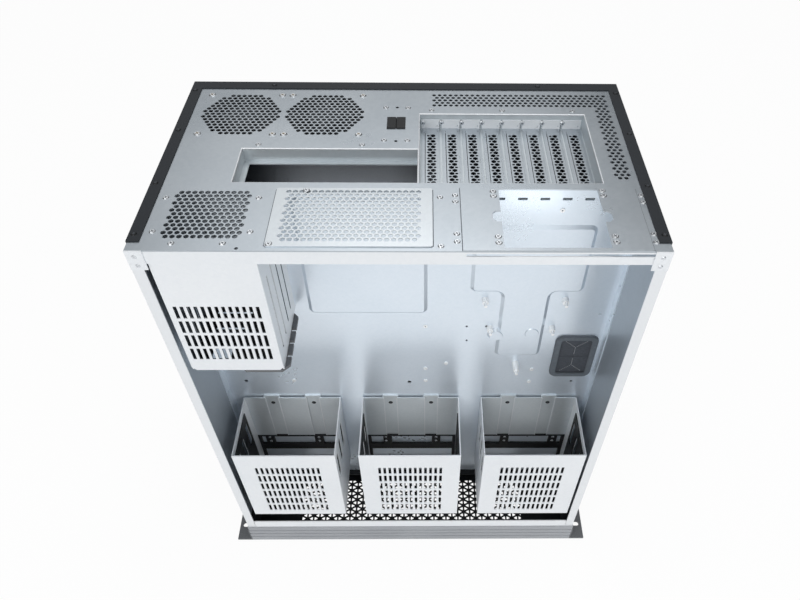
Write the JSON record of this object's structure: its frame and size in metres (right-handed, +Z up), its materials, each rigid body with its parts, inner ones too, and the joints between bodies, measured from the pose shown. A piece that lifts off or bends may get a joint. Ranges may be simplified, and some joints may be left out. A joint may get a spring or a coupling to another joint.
{
  "type": "rack-mount computer case",
  "caption": "Tall rack-mount computer case standing on its front, with a perforated rear panel, slotted drive cages in an open lower bay, a mesh front, rack ears and cooling fans.",
  "frame": {"origin": "middle of the front face, which the case stands on", "axes": "+X across the case to the right as seen at the open lower side, +Y from the open lower side to the top cover, +Z up from the front to the rear panel"},
  "size_m": [0.4826, 0.265, 0.53],
  "materials": {
    "galvanised_steel": "satin",
    "pale_steel": "satin",
    "bright_steel": "satin",
    "charcoal_paint": "matte",
    "black_paint": "matte",
    "grey_paint": "matte",
    "dark_grey_paint": "matte",
    "black_rubber": "matte",
    "black_plastic": "matte",
    "fan_plastic": "satin"
  },
  "bodies": {
    "case": {"rear_panel": "galvanised_steel", "recess_frame": "galvanised_steel", "psu_cover_plate": "galvanised_steel", "psu_bracket": "galvanised_steel", "left_side_wall": "pale_steel", "right_side_wall": "pale_steel", "mid_plate": "pale_steel", "rear_drive_cage": "pale_steel", "front_frame": "pale_steel", "top_cover": "charcoal_paint", "cage_end_plate": "black_paint", "front_mesh": "black_paint", "front_bezel": "grey_paint", "cable_grommet": "black_rubber", "plate_standoffs": "bright_steel", "slot_cover_1": "galvanised_steel", "slot_cover_2": "galvanised_steel", "slot_cover_3": "galvanised_steel", "slot_cover_4": "galvanised_steel", "slot_cover_5": "galvanised_steel", "slot_cover_6": "galvanised_steel", "slot_cover_7": "galvanised_steel", "slot_cover_8": "galvanised_steel", "front_cage_left": "pale_steel", "drive_stop_left": "black_paint", "front_cage_centre": "pale_steel", "drive_stop_centre": "black_paint", "front_cage_right": "pale_steel", "drive_stop_right": "black_paint", "rack_ear_left": "dark_grey_paint", "corner_gusset_left": "pale_steel", "plug_left": "black_plastic", "fan_frame_left": "black_plastic", "rack_ear_right": "dark_grey_paint", "corner_gusset_right": "pale_steel", "plug_right": "black_plastic", "fan_frame_right": "black_plastic"},
    "left_fan": {"fan_rotor_left": "fan_plastic"},
    "right_fan": {"fan_rotor_right": "fan_plastic"}
  },
  "joints": [
    {"name": "left_fan_spin", "type": "hinge", "parent": "case", "child": "left_fan", "pos_m": [-0.162, 0.0715, 0.515], "axis": [0, 0, 1], "continuous": true},
    {"name": "right_fan_spin", "type": "hinge", "parent": "case", "child": "right_fan", "pos_m": [-0.0798, 0.0715, 0.515], "axis": [0, 0, 1], "continuous": true}
  ]
}
